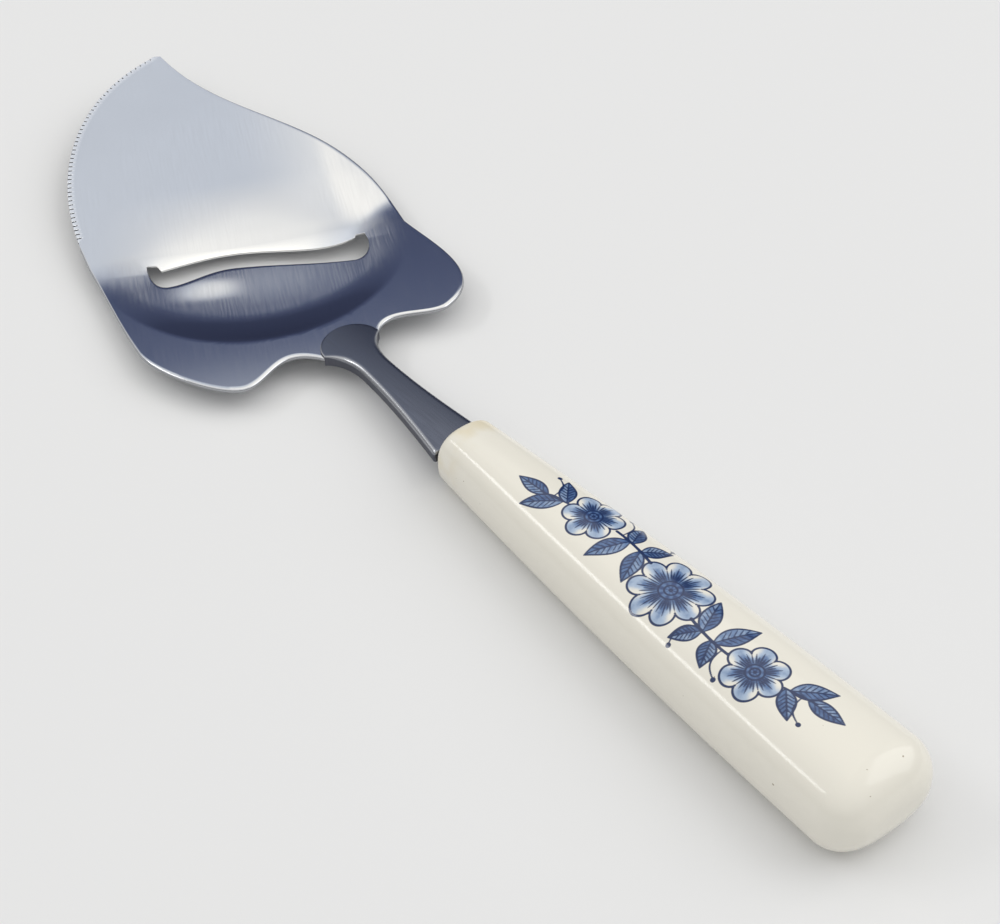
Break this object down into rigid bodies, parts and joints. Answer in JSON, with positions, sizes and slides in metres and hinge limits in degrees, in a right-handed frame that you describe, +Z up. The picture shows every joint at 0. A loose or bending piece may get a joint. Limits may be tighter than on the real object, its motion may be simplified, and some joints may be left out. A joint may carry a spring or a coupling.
{
  "type": "cheese slicer",
  "caption": "Cheese slicer with a spade-shaped steel head, slanted slot and serrated front edge, on a flat shank in a glazed porcelain handle.",
  "frame": {"origin": "on the handle's flat underside, under the middle of the handle's length", "axes": "+X from the handle's butt to the tip of the head, +Y to the left when the tip points away, +Z up"},
  "size_m": [0.2605, 0.0701, 0.0161],
  "materials": {
    "head_steel": "brushed",
    "shank_steel": "brushed",
    "porcelain": "gloss",
    "cement": "matte"
  },
  "bodies": {
    "root": {"slicing_head": "head_steel", "shank": "shank_steel", "weld_bead": "shank_steel", "handle": "porcelain", "tang_cement": "cement"}
  },
  "joints": []
}
